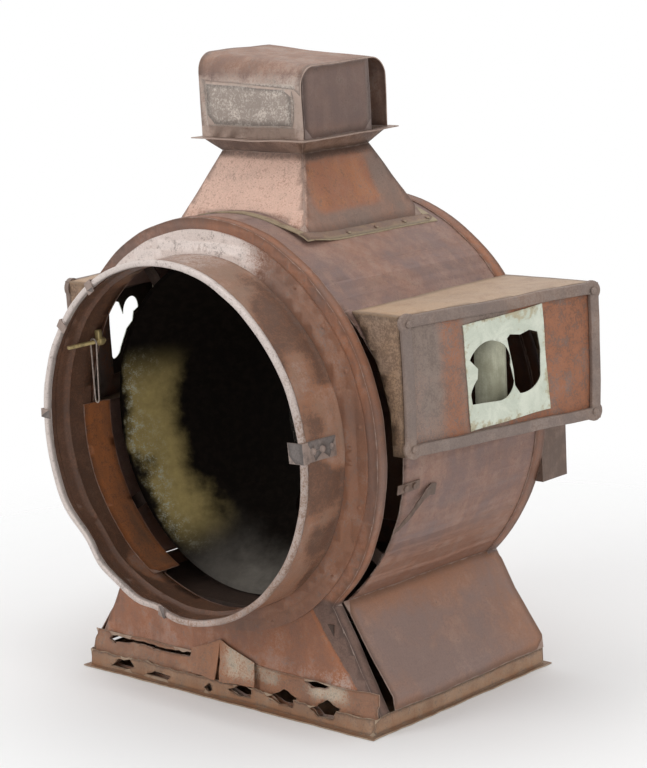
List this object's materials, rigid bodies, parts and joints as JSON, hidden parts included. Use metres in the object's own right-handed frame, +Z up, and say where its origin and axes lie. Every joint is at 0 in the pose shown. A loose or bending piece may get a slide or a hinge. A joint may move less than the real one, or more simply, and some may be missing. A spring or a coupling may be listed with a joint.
{
  "type": "locomotive headlamp",
  "caption": "Round-case locomotive headlamp with a hinged glass frame, parabolic reflector, oil lamp, hooded vent, number boxes and a flanged pedestal.",
  "frame": {"origin": "on the ground, under the middle of the case", "axes": "+Z up, -Y towards the front glass frame, +X towards the number box on the right of the picture"},
  "size_m": [0.8082, 0.5186, 0.901],
  "materials": {
    "base_steel": "rusted, with flakes of pale paint",
    "case_steel": "rusted",
    "vent_steel": "rusted, with remains of pale paint",
    "number_case_steel": "rusted",
    "number_frame_steel": "rusted and pitted",
    "plate_enamel": "chalky pale paint with rust stains",
    "shield_paint": "dull pale paint",
    "goggle_steel": "rusted, silvery and pitted in places",
    "liner_rust": "orange rust",
    "brass": "dull brass",
    "hardware_steel": "rusted",
    "inner_steel": "rusted",
    "reflector_plate": "tarnished, with dull patches",
    "chimney_glass": "clear, dusty"
  },
  "bodies": {
    "case": {"base_plate": "base_steel", "base_rim": "base_steel", "front_head": "case_steel", "front_skirt": "base_steel", "rear_head": "case_steel", "drum_shell": "case_steel", "side_panel_right": "case_steel", "side_panel_left": "case_steel", "vent_saddle": "vent_steel", "vent_base": "vent_steel", "vent_tray": "vent_steel", "vent_inner_box": "vent_steel", "vent_hood": "vent_steel", "number_case_right": "number_case_steel", "number_frame_right": "number_frame_steel", "number_face_right": "number_frame_steel", "number_plate_right": "plate_enamel", "number_rivets_right": "number_frame_steel", "light_shield_right": "shield_paint", "number_case_left": "number_case_steel", "number_frame_left": "number_frame_steel", "number_face_left": "number_frame_steel", "number_plate_left": "plate_enamel", "number_rivets_left": "number_frame_steel", "light_shield_left": "shield_paint", "liner_band": "liner_rust", "hinge_leaf_case": "hardware_steel", "hinge_pin": "hardware_steel", "latch_strap": "hardware_steel", "reflector": "reflector_plate", "reflector_brackets": "hardware_steel", "lamp_shelf": "inner_steel", "lamp_fount": "brass", "burner": "brass", "lamp_chimney": "chimney_glass", "flue": "inner_steel", "rear_hinge_case": "hardware_steel", "rear_hinge_pin": "hardware_steel", "rear_bracket": "hardware_steel"},
    "goggle": {"goggle_ring": "goggle_steel", "goggle_collar": "goggle_steel", "glass_seat": "goggle_steel", "glass_clips": "goggle_steel", "hinge_leaf_goggle": "hardware_steel", "brass_rod": "brass", "brass_nut": "brass"},
    "wire_link": {"wire_link": "hardware_steel"},
    "rear_door": {"rear_door": "inner_steel", "rear_door_knob": "hardware_steel", "rear_hinge_door": "hardware_steel"},
    "filler_cap": {"filler_cap": "brass"},
    "wick_knob": {"wick_knob": "brass"}
  },
  "joints": [
    {"name": "goggle_hinge", "type": "hinge", "parent": "case", "child": "goggle", "pos_m": [-0.31, -0.185, 0.39], "axis": [0, 0, -1], "range_deg": [0, 110]},
    {"name": "wire_link_swing", "type": "hinge", "parent": "goggle", "child": "wire_link", "pos_m": [-0.2125, -0.204, 0.5045], "axis": [0, 1, 0], "range_deg": [-40, 15]},
    {"name": "rear_door_hinge", "type": "hinge", "parent": "case", "child": "rear_door", "pos_m": [-0.1123, 0.1936, 0.295], "axis": [0, 0, 1], "range_deg": [0, 150]},
    {"name": "wick_knob_turn", "type": "hinge", "parent": "case", "child": "wick_knob", "pos_m": [0.02, 0.0165, 0.288], "axis": [1, 0, 0], "range_deg": [-360, 360]},
    {"name": "filler_cap_turn", "type": "hinge", "parent": "case", "child": "filler_cap", "pos_m": [0.036, 0.0165, 0.202], "axis": [0, 0, 1], "range_deg": [0, 360]}
  ]
}
